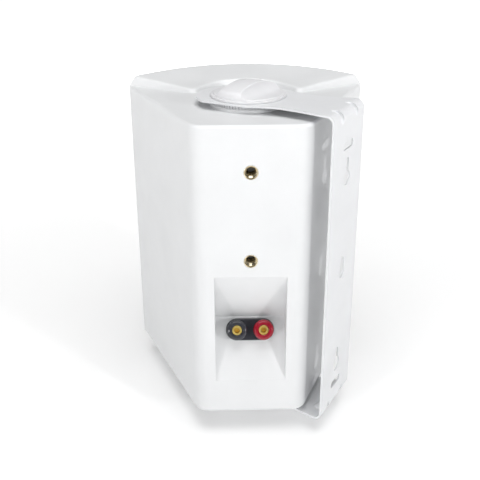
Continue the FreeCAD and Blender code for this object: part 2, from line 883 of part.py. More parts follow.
def grille():
    axisY = frontCornerY - bowDepth + bowRadius()
    outerRadius = bowRadius() - grilleInset
    skin = rod(outerRadius, (0, axisY, -grilleHalfZ), alongZ, 2 * grilleHalfZ)
    skin = skin.cut(rod(outerRadius - grilleThick, (0, axisY, -grilleHalfZ), alongZ, 2 * grilleHalfZ))
    outline = roundedPlate(grilleHalfX, grilleHalfZ, grilleCorner, -bigSpan, axisY - bowRadius() / 2)
    skin = skin.common(outline)
    stepX = 2 * grilleHalfX / (grilleColumns + 2 * grilleStagger)
    stepZ = 2 * grilleHalfZ / (grilleRows + 2 * grilleStagger)
    holes = []
    for row in range(grilleRows):
        stagger = grilleStagger if row % 2 else -grilleStagger
        z = (row - (grilleRows - 1) / 2) * stepZ
        for column in range(grilleColumns):
            x = (column - (grilleColumns - 1) / 2 + stagger) * stepX
            wire = polygon([(x + u, -bigSpan, z + v) for u, v in hexagon(grilleHexRadius, 30)])
            holes.append(prism(wire, alongY * bigSpan))
    return skin.cut(Part.makeCompound(holes))


def portTube(side):
    tube = rod(portRadius, (side * portX, baffleFrontY, portZ), alongY, portLength)
    lip = rod(portLip, (side * portX, baffleFrontY - portWall, portZ), alongY, portWall)
    tube = tube.fuse(lip)
    bore = rod(portRadius - portWall, (side * portX, baffleFrontY - portWall, portZ), alongY, bigSpan / 4)
    tube = tube.cut(bore)
    mouth = edgesWhere(tube, lambda edge: edge.BoundBox.YMax < baffleFrontY - portWall + nearly)
    return tube.makeChamfer(portWall / 2, mouth)


# Woofer, drawn about its own axis from the flange backwards
def wooferBasket():
    seat = baffleFrontY
    footY = seat + basketDepth
    profile = [
        (basketMouth, seat - flangeThick),
        (wooferFlange, seat - flangeThick),
        (wooferFlange, seat),
        (wooferOpening - basketClear, seat),
        (wooferOpening - basketClear, seat + basketWall),
        (basketFoot, footY - basketWall),
        (basketFoot, footY),
        (gapRadius, footY),
        (gapRadius, footY - basketWall),
        (basketFoot - 2 * basketWall, footY - basketWall),
        (basketMouth, seat - flangeThick + basketWall),
    ]
    basket = turnedAboutY(profile, wooferZ)
    holes = []
    middleY = seat + basketDepth / 2
    for k in range(basketWindows):
        angle = math.radians(360 * (k + 0.5) / basketWindows)
        ray = Vector(math.cos(angle), 0, math.sin(angle))
        holes.append(rod(windowRadius, (0, middleY, wooferZ), ray, wooferOpening))
    for x, z in wooferScrewPlaces():
        holes.append(rod(screwRadius + screwThreadGap, (x, seat - flangeThick, z), alongY, flangeThick))
    return basket.cut(holes)


def wooferTopPlate():
    low = baffleFrontY + basketDepth
    plate = rod(topPlateRadius, (0, low, wooferZ), alongY, topPlateThick)
    return plate.cut(rod(gapRadius, (0, low, wooferZ), alongY, topPlateThick))


def wooferMagnet():
    low = baffleFrontY + basketDepth + topPlateThick
    ring = rod(magnetRadius, (0, low, wooferZ), alongY, magnetThick)
    ring = ring.makeChamfer(magnetChamfer, edgesWhere(ring, lambda edge: edge.BoundBox.YLength < nearly))
    return ring.cut(rod(magnetInner, (0, low, wooferZ), alongY, magnetThick))


def wooferYoke():
    low = baffleFrontY + basketDepth
    backY = low + topPlateThick + magnetThick
    plate = rod(yokeRadius, (0, backY, wooferZ), alongY, yokeThick)
    pole = rod(poleRadius, (0, low, wooferZ), alongY, topPlateThick + magnetThick)
    return plate.fuse(pole)


def coneFrontY():
    return baffleFrontY - flangeThick - surroundThick


def wooferCone():
    front = coneFrontY()
    neckY = front + coneDepth
    edges = [
        arc((coneOuter, front, 0), (coneFlareX, front + coneFlareDepth, 0), (coneNeck, neckY, 0)),
        line((coneNeck, neckY, 0), (coneNeck, neckY + coneThick, 0)),
        arc((coneNeck, neckY + coneThick, 0),
            (coneFlareX, front + coneFlareDepth + coneThick, 0),
            (coneOuter, front + coneThick, 0)),
        line((coneOuter, front + coneThick, 0), (coneOuter, front, 0)),
    ]
    return turnedWire(edges, wooferZ)


def wooferDustCap():
    return domeShell(dustCapRadius, dustCapRise, coneThick, dustSeatY(), wooferZ)


def dustSeatY():
    return coneFrontY() + coneDepth - dustCapSeat


def wooferVoiceCoil():
    low = coneFrontY() + coneDepth
    former = rod(formerRadius, (0, low, wooferZ), alongY, formerLength)
    former = former.cut(rod(formerRadius - formerWall, (0, low, wooferZ), alongY, formerLength))
    windLow = baffleFrontY + basketDepth - coneTravel
    winding = rod(formerRadius + formerWall, (0, windLow, wooferZ), alongY, topPlateThick + 2 * coneTravel)
    winding = winding.cut(rod(formerRadius, (0, windLow, wooferZ), alongY, bigSpan / 10))
    return former.fuse(winding)


def wooferSurround():
    front = coneFrontY()
    back = front + surroundThick
    innerRoll = coneOuter + 1
    outerRoll = innerRoll + 2 * surroundRoll
    middle = innerRoll + surroundRoll
    edges = [
        line((coneOuter + runGap, front, 0), (innerRoll, front, 0)),
        arc((innerRoll, front, 0), (middle, front - surroundRoll, 0), (outerRoll, front, 0)),
        line((outerRoll, front, 0), (surroundOuter, front, 0)),
        line((surroundOuter, front, 0), (surroundOuter, back, 0)),
        line((surroundOuter, back, 0), (outerRoll - surroundThick, back, 0)),
        arc((outerRoll - surroundThick, back, 0), (middle, back - surroundRoll, 0),
            (innerRoll + surroundThick, back, 0)),
        line((innerRoll + surroundThick, back, 0), (coneOuter + runGap, back, 0)),
        line((coneOuter + runGap, back, 0), (coneOuter + runGap, front, 0)),
    ]
    return turnedWire(edges, wooferZ)


def wooferSpider():
    y = coneFrontY() + coneDepth + spiderSeat
    inner = formerRadius + runGap
    step = (spiderOuter - inner) / (2 * spiderWaves)
    front = []
    for k in range(2 * spiderWaves + 1):
        swing = spiderWaveHeight if k % 2 else -spiderWaveHeight
        front.append((inner + k * step, y + swing))
    back = [(radius, level + spiderThick) for radius, level in reversed(front)]
    return turnedAboutY(front + back, wooferZ)


# Tweeter
def tweeterPlate():
    seat = baffleFrontY
    profile = [
        (domeRadius + domeClear, seat - hornLip),
        (domeRadius + domeClear, seat),
        (tweeterFlange, seat),
        (tweeterFlange, seat - flangeThick + tweeterBevel),
        (tweeterFlange - tweeterBevel, seat - flangeThick),
        (hornRadius, seat - flangeThick),
    ]
    plate = turnedAboutY(profile, tweeterZ)
    holes = []
    for x, z in tweeterScrewPlaces():
        holes.append(rod(screwRadius + screwThreadGap, (x, seat - flangeThick, z), alongY, flangeThick))
    return plate.cut(holes)


def tweeterDome():
    return domeShell(domeRadius, domeRise, domeThick, baffleFrontY, tweeterZ)


def tweeterMagnet():
    can = rod(tweeterMagnetRadius, (0, baffleFrontY, tweeterZ), alongY, tweeterMagnetDepth)
    rear = edgesWhere(can, lambda edge: edge.BoundBox.YMin > baffleFrontY + tweeterMagnetDepth - nearly)
    return can.makeFillet(tweeterMagnetRound, rear)


# Crossover, on pillars inside the rear wall
def crossoverBoard():
    board = block(-boardHalfX, boardHalfX, boardY - boardThick, boardY, boardLowZ, boardHighZ)
    holes = []
    for x, z in boardScrewPlaces():
        holes.append(rod(screwRadius + screwThreadGap, (x, boardY - boardThick, z), alongY, boardThick))
    return board.cut(holes)


def crossoverCoil():
    face = boardY - boardThick
    z = (boardLowZ + boardHighZ) / 2
    coil = rod(coilRadius, (coilX, face, z), -alongY, coilHeight)
    return coil.cut(rod(coilBore, (coilX, face, z), -alongY, coilHeight))


def crossoverCapacitors():
    face = boardY - boardThick
    x = -boardHalfX / 2
    middle = (boardLowZ + boardHighZ) / 2
    cans = []
    for side in (1, -1):
        z = middle + side * (capacitorRadius + capacitorGap)
        start = (x - capacitorLength / 2, face - capacitorRadius, z)
        can = rod(capacitorRadius, start, alongX, capacitorLength)
        ends = edgesWhere(can, lambda edge: edge.BoundBox.XLength < nearly)
        cans.append(can.makeFillet(capacitorRound, ends))
    return Part.makeCompound(cans)


def crossoverResistor():
    length, deep, tall = resistorSize
    face = boardY - boardThick
    z = boardHighZ - boardScrewInset - tall / 2
    return block(-length / 2, length / 2, face - deep, face, z, z + tall)


def dampingPads():
    near = wall + padGap
    far = near + padThick
    highZ = topZ - wall - padGap
    pads = []
    for side in (1, -1):
        plan = [
            (side * innerHalf(padBackY, far), padBackY),
            (side * innerHalf(padBackY, near), padBackY),
            (side * innerHalf(padFrontY, near), padFrontY),
            (side * innerHalf(padFrontY, far), padFrontY),
        ]
        pads.append(flatPrism(plan, -highZ, highZ))
    return Part.makeCompound(pads)


# Wires run straight between hand-picked points, with arcs at the turns
def wire(points):
    spots = [Vector(*p) for p in points]
    edges = []
    start = spots[0]
    for before, corner, after in zip(spots, spots[1:], spots[2:]):
        inward = (corner - before).normalize()
        outward = (after - corner).normalize()
        turn = inward.getAngle(outward)
        trim = wireTrim * min(before.distanceToPoint(corner), corner.distanceToPoint(after))
        radius = trim / math.tan(turn / 2)
        bisector = (outward - inward).normalize()
        centre = corner + bisector * (radius / math.cos(turn / 2))
        middle = centre - bisector * radius
        first = corner - inward * trim
        last = corner + outward * trim
        edges.append(Part.LineSegment(start, first).toShape())
        edges.append(Part.Arc(first, middle, last).toShape())
        start = last
    edges.append(Part.LineSegment(start, spots[-1]).toShape())
    path = Part.Wire(edges)
    direction = (spots[1] - spots[0]).normalize()
    section = Part.Wire(Part.makeCircle(wireRadius, spots[0], direction))
    return path.makePipeShell([section], True, False)


def inputWires():
    tilt = math.radians(rampAngle)
    lugOut = nutSeat + nutThick + lugThick + wireRadius
    lugDown = postAlongRamp + lugLength - lugHalf
    y = rearY - scoopDepth - lugOut * math.cos(tilt) + lugDown * math.sin(tilt)
    z = scoopMidZ - lugOut * math.sin(tilt) - lugDown * math.cos(tilt)
    wires = []
    for x in postPlaces():
        sideX = x + math.copysign(wireSpread, x)
        route = [(x, y, z)]
        route += [(sideX, y + stepY, z + stepZ) for stepY, stepZ in inputWireSteps]
        wires.append(wire(route + [(x,) + inputWireEnd]))
    return Part.makeCompound(wires)


def wooferWires():
    first = wire(wooferWireRoute)
    second = wire([(x + wooferWireGap, y, z) for x, y, z in wooferWireRoute])
    return Part.makeCompound([first, second])


def tweeterWires():
    wires = [wire([(side * x, y, z) for x, y, z in tweeterWireRoute]) for side in (1, -1)]
    return Part.makeCompound(wires)


def allPieces():
    blackX, redX = postPlaces()
    knob = clampKnob()
    stud = knobStud()
    washer = knobWasher()
    ring = detentRing()
    insert = pivotInsert()
    wooferSeat = baffleFrontY - flangeThick
    return {
        "wall_bracket": wallBracket(),
        "cabinet_shell": cabinetShell(),
        "upper_knob": knob,
        "lower_knob": mirrorZ(knob),
        "upper_knob_stud": stud,
        "lower_knob_stud": mirrorZ(stud),
        "upper_knob_washer": washer,
        "lower_knob_washer": mirrorZ(washer),
        "upper_detent_ring": ring,
        "lower_detent_ring": mirrorZ(ring),
        "pivot_inserts": Part.makeCompound([insert, mirrorZ(insert)]),
        "rear_inserts": rearInserts(),
        "terminal_base": terminalBase(),
        "black_collar": postCollar(blackX),
        "red_collar": postCollar(redX),
        "black_cap": postCap(blackX),
        "red_cap": postCap(redX),
        "black_post": binderPost(blackX),
        "red_post": binderPost(redX),
        "terminal_nuts": terminalNuts(),
        "solder_lugs": solderLugs(),
        "front_baffle": frontBaffle(),
        "baffle_gasket": baffleGasket(),
        "baffle_screws": screwGroup(baffleScrewPlaces(), baffleFrontY, screwLength),
        "grille": grille(),
        "port_tube_left": portTube(1),
        "port_tube_right": portTube(-1),
        "woofer_basket": wooferBasket(),
        "woofer_top_plate": wooferTopPlate(),
        "woofer_magnet": wooferMagnet(),
        "woofer_yoke": wooferYoke(),
        "woofer_cone": wooferCone(),
        "woofer_dust_cap": wooferDustCap(),
        "woofer_voice_coil": wooferVoiceCoil(),
        "woofer_surround": wooferSurround(),
        "woofer_spider": wooferSpider(),
        "woofer_screws": screwGroup(wooferScrewPlaces(), wooferSeat, screwLength),
        "tweeter_plate": tweeterPlate(),
        "tweeter_dome": tweeterDome(),
        "tweeter_magnet": tweeterMagnet(),
        "tweeter_screws": screwGroup(tweeterScrewPlaces(), wooferSeat, screwLength),
        "crossover_board": crossoverBoard(),
        "crossover_coil": crossoverCoil(),
        "crossover_capacitors": crossoverCapacitors(),
        "crossover_resistor": crossoverResistor(),
        "crossover_screws": screwGroup(boardScrewPlaces(), boardY - boardThick, boardScrewLength),
        "damping_pads": dampingPads(),
        "input_wires": inputWires(),
        "woofer_wires": wooferWires(),
        "tweeter_wires": tweeterWires(),
    }


def main():
    os.makedirs("parts", exist_ok=True)
    home = Vector(pivotX, pivotY, 0)
    for name, shape in allPieces().items():
        placed = shape.translated(home)
        placed.exportStep(os.path.join("parts", name + ".step"))
        print(name, placed.isValid(), len(placed.Solids), round(placed.Volume))


main()
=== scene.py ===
import json
import math

import bpy
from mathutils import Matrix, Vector


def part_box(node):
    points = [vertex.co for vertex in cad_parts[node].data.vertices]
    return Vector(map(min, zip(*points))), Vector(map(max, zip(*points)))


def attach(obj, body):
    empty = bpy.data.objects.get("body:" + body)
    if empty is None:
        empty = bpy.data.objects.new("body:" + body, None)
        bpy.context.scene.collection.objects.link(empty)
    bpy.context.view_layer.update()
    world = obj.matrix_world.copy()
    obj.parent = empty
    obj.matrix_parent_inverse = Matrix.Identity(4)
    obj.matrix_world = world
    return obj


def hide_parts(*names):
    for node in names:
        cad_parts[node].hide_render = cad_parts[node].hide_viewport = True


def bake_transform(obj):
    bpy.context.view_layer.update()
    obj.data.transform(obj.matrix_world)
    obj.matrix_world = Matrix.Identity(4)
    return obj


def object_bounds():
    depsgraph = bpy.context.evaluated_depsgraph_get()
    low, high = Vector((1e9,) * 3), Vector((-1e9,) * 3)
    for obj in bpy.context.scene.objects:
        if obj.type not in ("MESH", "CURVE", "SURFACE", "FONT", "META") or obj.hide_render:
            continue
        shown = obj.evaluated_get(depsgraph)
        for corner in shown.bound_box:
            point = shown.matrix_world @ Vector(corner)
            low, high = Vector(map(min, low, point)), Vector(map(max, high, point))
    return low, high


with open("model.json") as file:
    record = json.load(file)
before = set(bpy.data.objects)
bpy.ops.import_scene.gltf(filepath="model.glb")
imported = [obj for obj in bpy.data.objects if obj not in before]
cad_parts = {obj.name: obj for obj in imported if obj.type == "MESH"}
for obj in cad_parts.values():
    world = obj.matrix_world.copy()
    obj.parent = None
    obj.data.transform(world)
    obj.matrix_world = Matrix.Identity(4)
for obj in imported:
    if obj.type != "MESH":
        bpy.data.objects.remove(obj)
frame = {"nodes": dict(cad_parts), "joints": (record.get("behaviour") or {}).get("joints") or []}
cadLow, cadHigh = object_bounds()
nodes = frame["nodes"]
print("frame loaded with", len(nodes), "nodes")

mm = 0.001
swivelX = frame["joints"][0]["pos_m"][0]          # the cabinet is symmetrical about this axis
smoothBelow = math.radians(35)                    # edges flatter than this are shaded smooth
noiseLow, noiseHigh = 0.3, 0.7                    # most of a noise field lies between these


# shared modelling steps

def quietSelection():
    if bpy.context.mode != "OBJECT":
        bpy.ops.object.mode_set(mode="OBJECT")
    bpy.ops.object.select_all(action="DESELECT")


def workOn(piece):
    quietSelection()
    piece.select_set(True)
    bpy.context.view_layer.objects.active = piece


def startPiece(name):
    piece = bpy.context.active_object
    piece.name = name
    piece.data.name = name
    return piece


def enterEdit(kind="FACE"):
    bpy.ops.object.mode_set(mode="EDIT")
    bpy.ops.mesh.select_mode(type=kind)


def leaveEdit():
    bpy.ops.object.mode_set(mode="OBJECT")


def applyModifier(piece, kind, **settings):
    workOn(piece)
    modifier = piece.modifiers.new(kind.title(), kind)
    for key, value in settings.items():
        setattr(modifier, key, value)
    bpy.ops.object.modifier_apply(modifier=modifier.name)


def settle(piece):
    workOn(piece)
    bpy.ops.object.transform_apply(location=True, rotation=True, scale=True)


def joinPieces(name, pieces):
    quietSelection()
    for piece in pieces:
        piece.select_set(True)
    bpy.context.view_layer.objects.active = pieces[0]
    bpy.ops.object.join()
    return startPiece(name)


def chooseEdges(piece, test):
    workOn(piece)
    enterEdit("EDGE")
    bpy.ops.mesh.select_all(action="DESELECT")
    leaveEdit()
    spots = piece.data.vertices
    for edge in piece.data.edges:
        first, last = edge.vertices
        edge.select = test(spots[first].co, spots[last].co)
    bpy.ops.object.mode_set(mode="EDIT")


def mergeDoubles(piece, reach):
    workOn(piece)
    enterEdit("VERT")
    bpy.ops.mesh.select_all(action="SELECT")
    bpy.ops.mesh.remove_doubles(threshold=reach)
    leaveEdit()


def outwardNormals(piece):
    workOn(piece)
    enterEdit()
    bpy.ops.mesh.select_all(action="SELECT")
    bpy.ops.mesh.normals_make_consistent(inside=False)
    leaveEdit()


# smooth shading, finish and body for one finished piece; a piece given no body is left unattached
def finishPiece(piece, material, slotName, body, *replaced):
    workOn(piece)
    bpy.ops.object.shade_smooth_by_angle(angle=smoothBelow)
    piece.data.materials.clear()
    piece.data.materials.append(material)
    if body:
        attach(piece, body)
    if replaced:
        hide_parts(*replaced)
    print(piece.name, "has", len(piece.data.polygons), "faces")


# shared material steps

# a colour as a screen shows it, turned into the linear levels that shaders take
def screenColour(red, green, blue):
    def linear(level):
        level /= 255
        return level / 12.92 if level <= 0.04045 else ((level + 0.055) / 1.055) ** 2.4
    return (linear(red), linear(green), linear(blue), 1.0)


def newFinish(name):
    material = bpy.data.materials.new(name)
    material.use_nodes = True
    tree = material.node_tree
    tree.nodes.clear()
    shader = tree.nodes.new("ShaderNodeBsdfPrincipled")
    output = tree.nodes.new("ShaderNodeOutputMaterial")
    tree.links.new(shader.outputs["BSDF"], output.inputs["Surface"])
    return material, tree, shader


def objectPlace(tree, stretch=(1, 1, 1), centre=(0, 0, 0)):
    coordinate = tree.nodes.new("ShaderNodeTexCoord")
    mapping = tree.nodes.new("ShaderNodeMapping")
    mapping.inputs["Location"].default_value = [-c * s for c, s in zip(centre, stretch)]
    mapping.inputs["Scale"].default_value = stretch
    tree.links.new(coordinate.outputs["Object"], mapping.inputs["Vector"])
    return mapping.outputs["Vector"]


def noiseField(tree, scale, detail=4.0, octaveFade=0.55, stretch=(1, 1, 1)):
    noise = tree.nodes.new("ShaderNodeTexNoise")
    noise.inputs["Scale"].default_value = scale
    noise.inputs["Detail"].default_value = detail
    noise.inputs["Roughness"].default_value = octaveFade
    tree.links.new(objectPlace(tree, stretch), noise.inputs["Vector"])
    return noise.outputs["Fac"]


def waveField(tree, scale, kind, direction, centre=(0, 0, 0), distortion=0.0):
    wave = tree.nodes.new("ShaderNodeTexWave")
    wave.wave_type = kind
    if kind == "RINGS":
        wave.rings_direction = direction
    else:
        wave.bands_direction = direction
    wave.inputs["Scale"].default_value = scale
    wave.inputs["Distortion"].default_value = distortion
    tree.links.new(objectPlace(tree, centre=centre), wave.inputs["Vector"])
    return wave.outputs["Fac"]


def spread(tree, field, low, high, socket):
    scaled = tree.nodes.new("ShaderNodeMapRange")
    scaled.inputs["From Min"].default_value = noiseLow
    scaled.inputs["From Max"].default_value = noiseHigh
    scaled.inputs["To Min"].default_value = low
    scaled.inputs["To Max"].default_value = high
    tree.links.new(field, scaled.inputs["Value"])
    tree.links.new(scaled.outputs["Result"], socket)


def tint(tree, field, dark, light, socket):
    ramp = tree.nodes.new("ShaderNodeValToRGB")
    ramp.color_ramp.elements[0].position = noiseLow
    ramp.color_ramp.elements[0].color = dark
    ramp.color_ramp.elements[1].position = noiseHigh
    ramp.color_ramp.elements[1].color = light
    tree.links.new(field, ramp.inputs["Fac"])
    tree.links.new(ramp.outputs["Color"], socket)


def relief(tree, shader, field, strength, depth, under=None):
    bump = tree.nodes.new("ShaderNodeBump")
    bump.inputs["Strength"].default_value = strength
    bump.inputs["Distance"].default_value = depth
    tree.links.new(field, bump.inputs["Height"])
    if under is not None:
        tree.links.new(under.outputs["Normal"], bump.inputs["Normal"])
    tree.links.new(bump.outputs["Normal"], shader.inputs["Normal"])
    return bump


# a finish whose tone, gloss and fine relief all come from noise at the finish's own scales
def speckledFinish(name, look):
    material, tree, shader = newFinish(name)
    stretch = look.get("stretch", (1, 1, 1))
    tint(tree, noiseField(tree, look["blotch"], stretch=stretch), look["dark"], look["light"],
         shader.inputs["Base Color"])
    spread(tree, noiseField(tree, look["smudge"], stretch=stretch), look["glossy"], look["dull"],
           shader.inputs["Roughness"])
    grain = noiseField(tree, look["grain"], detail=2.0, stretch=stretch)
    relief(tree, shader, grain, look["strength"], look["depth"])
    for socket, value in look.get("sockets", {}).items():
        shader.inputs[socket].default_value = value
    return material


def dress(material, *names):
    for name in names:
        node = nodes[name]
        node.data.materials.clear()
        node.data.materials.append(material)


# finishes, one dictionary each

mouldedWhite = {
    "dark": screenColour(222, 223, 224), "light": screenColour(226, 227, 228), "blotch": 28,
    "smudge": 60, "glossy": 0.34, "dull": 0.46, "grain": 1500, "strength": 0.18, "depth": 0.04 * mm,
}
knobWhite = {
    "dark": screenColour(217, 217, 219), "light": screenColour(222, 222, 224), "blotch": 60,
    "smudge": 120, "glossy": 0.4, "dull": 0.5, "grain": 900, "strength": 0.05, "depth": 0.03 * mm,
}
powderWhite = {
    "dark": screenColour(223, 224, 226), "light": screenColour(227, 228, 230), "blotch": 35,
    "smudge": 90, "glossy": 0.28, "dull": 0.4, "grain": 520, "strength": 0.16, "depth": 0.05 * mm,
}
turnedBrass = {
    "dark": (0.46, 0.40, 0.28, 1), "light": (0.72, 0.64, 0.47, 1), "blotch": 420,
    "smudge": 700, "glossy": 0.16, "dull": 0.3, "grain": 2600, "strength": 0.2, "depth": 0.03 * mm,
    "stretch": (1, 4, 1), "sockets": {"Metallic": 1.0},
}
goldPlate = {
    "dark": (1.0, 0.70, 0.17, 1), "light": (1.0, 0.82, 0.30, 1), "blotch": 500,
    "smudge": 900, "glossy": 0.28, "dull": 0.42, "grain": 2400, "strength": 0.15, "depth": 0.02 * mm,
    "sockets": {"Metallic": 1.0},
}
zincPlate = {
    "dark": (0.42, 0.43, 0.44, 1), "light": (0.62, 0.62, 0.63, 1), "blotch": 160,
    "smudge": 300, "glossy": 0.24, "dull": 0.42, "grain": 1800, "strength": 0.2, "depth": 0.03 * mm,
    "sockets": {"Metallic": 1.0},
}
blackCoat = {
    "dark": (0.012, 0.012, 0.013, 1), "light": (0.022, 0.022, 0.023, 1), "blotch": 90,
    "smudge": 160, "glossy": 0.36, "dull": 0.55, "grain": 900, "strength": 0.25, "depth": 0.05 * mm,
}
glossBlack = {
    "dark": (0.030, 0.031, 0.038, 1), "light": (0.044, 0.045, 0.054, 1), "blotch": 120,
    "smudge": 260, "glossy": 0.06, "dull": 0.12, "grain": 1200, "strength": 0.05, "depth": 0.02 * mm,
}
glossRed = {
    "dark": (0.24, 0.007, 0.018, 1), "light": (0.33, 0.011, 0.026, 1), "blotch": 140,
    "smudge": 260, "glossy": 0.06, "dull": 0.12, "grain": 1200, "strength": 0.05, "depth": 0.02 * mm,
}
grainedBlack = {
    "dark": (0.016, 0.016, 0.017, 1), "light": (0.028, 0.028, 0.029, 1), "blotch": 45,
    "smudge": 130, "glossy": 0.5, "dull": 0.68, "grain": 780, "strength": 0.5, "depth": 0.09 * mm,
}
rubberBlack = {
    "dark": (0.012, 0.012, 0.012, 1), "light": (0.024, 0.024, 0.024, 1), "blotch": 80,
    "smudge": 200, "glossy": 0.55, "dull": 0.75, "grain": 1400, "strength": 0.3, "depth": 0.04 * mm,
}
sinteredFerrite = {
    "dark": (0.030, 0.030, 0.032, 1), "light": (0.060, 0.060, 0.062, 1), "blotch": 220,
    "smudge": 240, "glossy": 0.55, "dull": 0.8, "grain": 700, "strength": 0.5, "depth": 0.12 * mm,
}
greenBoard = {
    "dark": (0.020, 0.085, 0.040, 1), "light": (0.035, 0.125, 0.060, 1), "blotch": 140,
    "smudge": 200, "glossy": 0.3, "dull": 0.45, "grain": 1100, "strength": 0.25, "depth": 0.04 * mm,
}
capacitorFilm = {
    "dark": (0.42, 0.24, 0.03, 1), "light": (0.55, 0.34, 0.05, 1), "blotch": 120,
    "smudge": 200, "glossy": 0.2, "dull": 0.36, "grain": 700, "strength": 0.2, "depth": 0.05 * mm,
}
cementWhite = {
    "dark": (0.55, 0.54, 0.50, 1), "light": (0.70, 0.69, 0.65, 1), "blotch": 260,
    "smudge": 300, "glossy": 0.7, "dull": 0.9, "grain": 900, "strength": 0.5, "depth": 0.1 * mm,
}
fibreWadding = {
    "dark": (0.62, 0.61, 0.58, 1), "light": (0.80, 0.80, 0.78, 1), "blotch": 180,
    "smudge": 220, "glossy": 0.85, "dull": 1.0, "grain": 620, "strength": 0.9, "depth": 0.7 * mm,
    "sockets": {"Sheen Weight": 0.4},
}


# moulded pulp cone: mottled tone, fibre relief and pressed rings about the driver's own axis
coneLook = {
    "centre": (swivelX, 0.0, -38.0 * mm), "dark": (0.020, 0.020, 0.021, 1), "light": (0.045, 0.045, 0.047, 1),
    "pulp": 420, "pulpDetail": 8.0, "smudge": 180, "glossy": 0.5, "dull": 0.72,
    "ringScale": 55, "ringStrength": 0.35, "ringDepth": 0.3 * mm,
    "fibre": 900, "fibreDetail": 6.0, "fibreStrength": 0.4, "fibreDepth": 0.1 * mm,
}


def pressedCone(look):
    material, tree, shader = newFinish("pressedCone")
    pulp = noiseField(tree, look["pulp"], detail=look["pulpDetail"])
    tint(tree, pulp, look["dark"], look["light"], shader.inputs["Base Color"])
    spread(tree, noiseField(tree, look["smudge"]), look["glossy"], look["dull"], shader.inputs["Roughness"])
    rings = waveField(tree, look["ringScale"], "RINGS", "Y", centre=look["centre"])
    ringRelief = relief(tree, shader, rings, look["ringStrength"], look["ringDepth"])
    fibre = noiseField(tree, look["fibre"], detail=look["fibreDetail"])
    relief(tree, shader, fibre, look["fibreStrength"], look["fibreDepth"], under=ringRelief)
    return material


# copper winding: bands of wire across the axis that the coil is wound about
windingLook = {
    "dark": (0.30, 0.10, 0.04, 1), "light": (0.62, 0.28, 0.12, 1), "bands": 420, "wobble": 0.4,
    "smudge": 500, "glossy": 0.22, "dull": 0.36, "strength": 0.6, "depth": 0.2 * mm, "metallic": 0.8,
}


def copperWinding(look):
    material, tree, shader = newFinish("copperWinding")
    bands = waveField(tree, look["bands"], "BANDS", "Y", distortion=look["wobble"])
    tint(tree, bands, look["dark"], look["light"], shader.inputs["Base Color"])
    spread(tree, noiseField(tree, look["smudge"]), look["glossy"], look["dull"], shader.inputs["Roughness"])
    relief(tree, shader, bands, look["strength"], look["depth"])
    shader.inputs["Metallic"].default_value = look["metallic"]
    return material


# open weave for the resin cloth and the silk dome
spiderWeave = {"dark": (0.30, 0.17, 0.04, 1), "light": (0.62, 0.42, 0.14, 1), "threads": 330}
silkWeave = {"dark": (0.010, 0.010, 0.012, 1), "light": (0.035, 0.035, 0.040, 1), "threads": 700}
clothLook = {"wobble": 0.6, "smudge": 300, "glossy": 0.6, "dull": 0.85, "strength": 0.5, "depth": 0.15 * mm}


def wovenCloth(name, weave, look):
    material, tree, shader = newFinish(name)
    warp = waveField(tree, weave["threads"], "BANDS", "X", distortion=look["wobble"])
    weft = waveField(tree, weave["threads"], "BANDS", "Z", distortion=look["wobble"])
    crossing = tree.nodes.new("ShaderNodeMath")
    crossing.operation = "MULTIPLY"
    tree.links.new(warp, crossing.inputs[0])
    tree.links.new(weft, crossing.inputs[1])
    tint(tree, crossing.outputs["Value"], weave["dark"], weave["light"], shader.inputs["Base Color"])
    spread(tree, noiseField(tree, look["smudge"]), look["glossy"], look["dull"], shader.inputs["Roughness"])
    relief(tree, shader, crossing.outputs["Value"], look["strength"], look["depth"])
    return material


# vinyl wire: the lead on one side of the swivel axis is black and the other is red
wireLook = {
    "black": (0.015, 0.015, 0.016, 1), "red": (0.42, 0.012, 0.016, 1), "divide": swivelX,
    "smudge": 400, "glossy": 0.28, "dull": 0.42, "grain": 1200, "strength": 0.15, "depth": 0.04 * mm,
}


def pairedVinyl(look):
    material, tree, shader = newFinish("pairedVinyl")
    split = tree.nodes.new("ShaderNodeSeparateXYZ")
    tree.links.new(objectPlace(tree), split.inputs["Vector"])
    side = tree.nodes.new("ShaderNodeMath")
    side.operation = "GREATER_THAN"
    side.inputs[1].default_value = look["divide"]
    tree.links.new(split.outputs["X"], side.inputs[0])
    tint(tree, side.outputs["Value"], look["red"], look["black"], shader.inputs["Base Color"])
    spread(tree, noiseField(tree, look["smudge"]), look["glossy"], look["dull"], shader.inputs["Roughness"])
    relief(tree, shader, noiseField(tree, look["grain"]), look["strength"], look["depth"])
    return material


whitePaint = speckledFinish("powderWhite", powderWhite)
brass = speckledFinish("turnedBrass", turnedBrass)
zinc = speckledFinish("zincPlate", zincPlate)
gold = speckledFinish("goldPlate", goldPlate)
blackSteel = speckledFinish("blackCoat", blackCoat)
blackMoulding = speckledFinish("grainedBlack", grainedBlack)
ferrite = speckledFinish("sinteredFerrite", sinteredFerrite)
rubber = speckledFinish("rubberBlack", rubberBlack)
knobMoulding = speckledFinish("knobWhite", knobWhite)
blackCap = speckledFinish("glossBlack", glossBlack)
wadding = speckledFinish("fibreWadding", fibreWadding)
resinCloth = wovenCloth("spiderWeave", spiderWeave, clothLook)
cone = pressedCone(coneLook)
winding = copperWinding(windingLook)
vinyl = pairedVinyl(wireLook)

